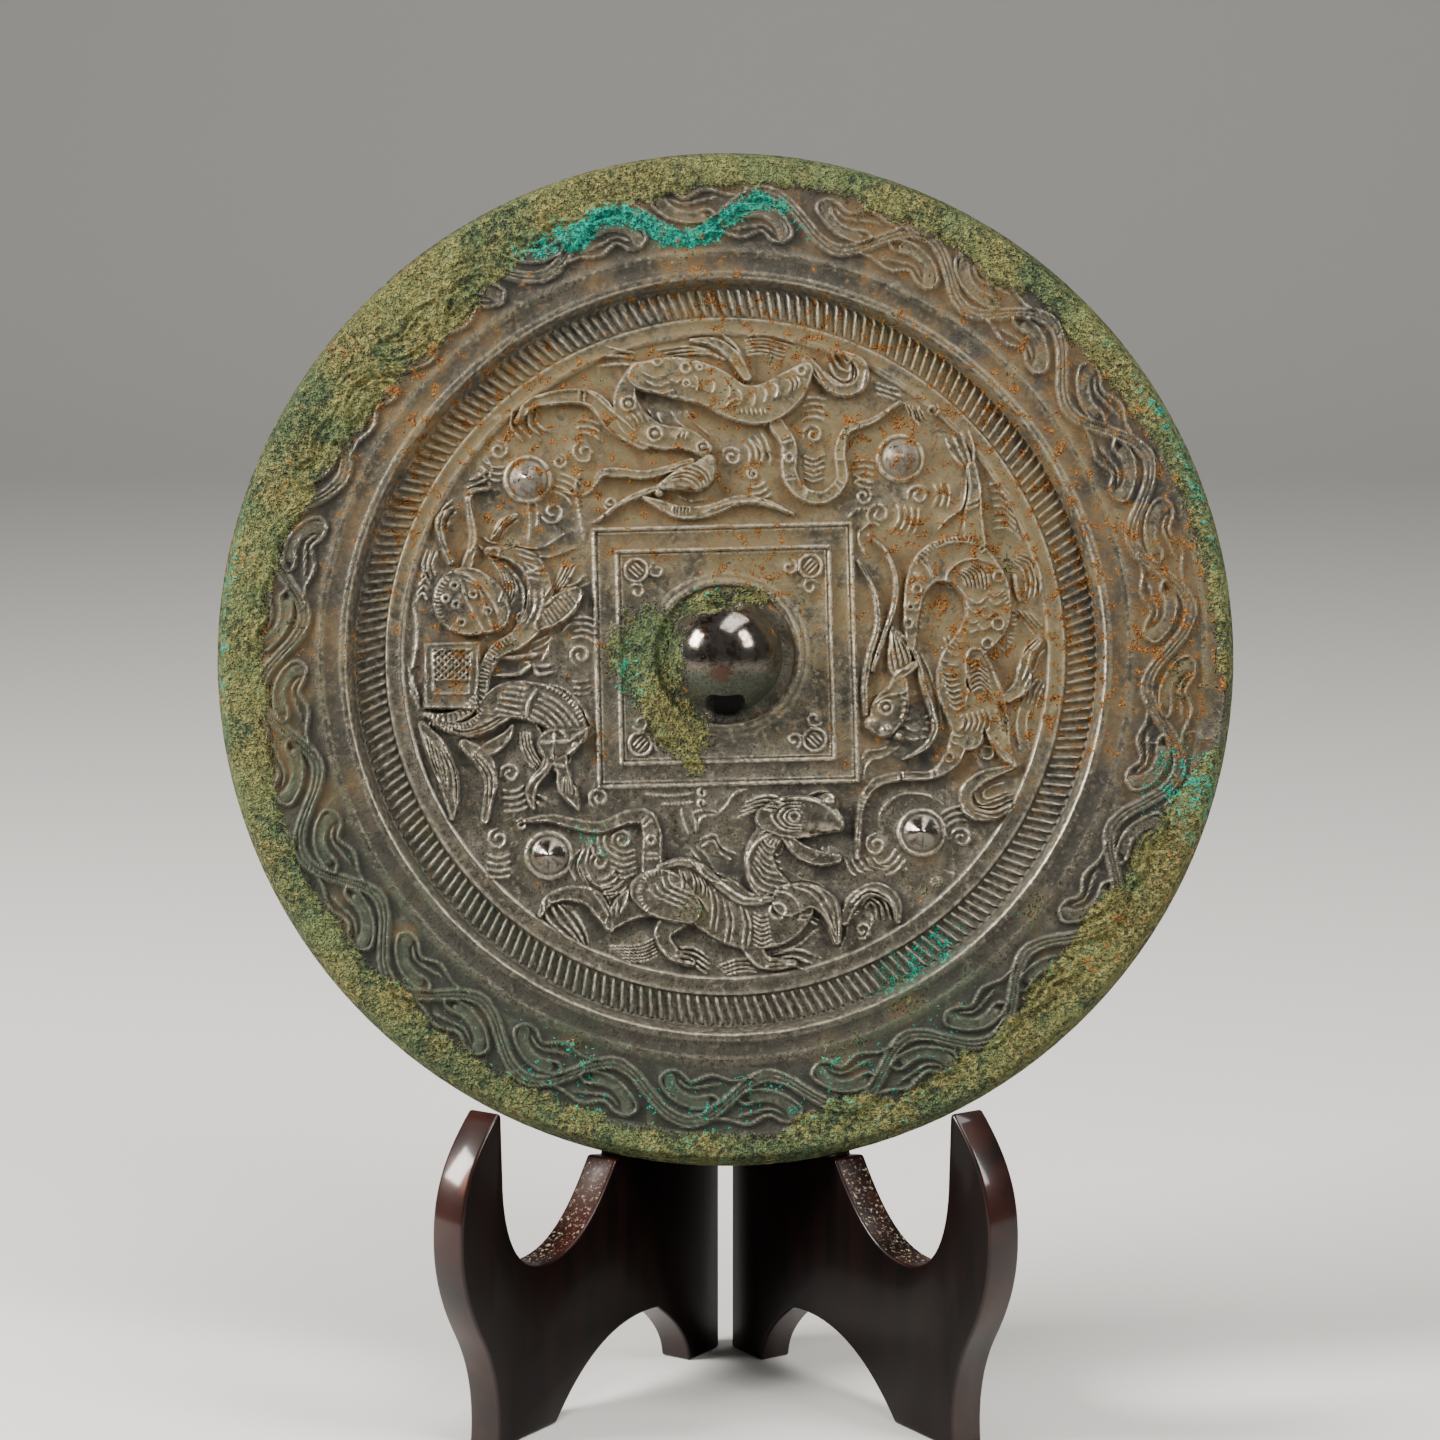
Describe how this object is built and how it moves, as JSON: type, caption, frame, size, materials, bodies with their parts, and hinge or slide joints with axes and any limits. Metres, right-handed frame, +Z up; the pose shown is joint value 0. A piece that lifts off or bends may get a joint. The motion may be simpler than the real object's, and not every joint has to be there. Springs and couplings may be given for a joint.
{
  "type": "bronze mirror on a folding stand",
  "caption": "Round cast bronze mirror, figured back outwards, leaning on a folding lacquered wooden stand with hooked feet.",
  "frame": {"origin": "centre of the bounding box, on the surface the stand's feet rest on", "axes": "+Z up, -Y towards the front, where the mirror's figured back faces, +X to the viewer's right"},
  "size_m": [0.18, 0.083, 0.2163],
  "materials": {
    "bronze": "aged cast bronze, grey-brown with green crust",
    "lacquered_wood": "glossy dark brown lacquer, worn at the edges",
    "brass": "dull brass"
  },
  "bodies": {
    "stand_left": {"stand_leaf_left": "lacquered_wood", "hinge_pin": "brass", "mirror": "bronze"},
    "stand_right": {"stand_leaf_right": "lacquered_wood"}
  },
  "joints": [
    {"name": "stand_fold", "type": "hinge", "parent": "stand_left", "child": "stand_right", "pos_m": [0, 0.02645, 0.07205], "axis": [0, 0, 1], "range_deg": [0, 114]}
  ]
}
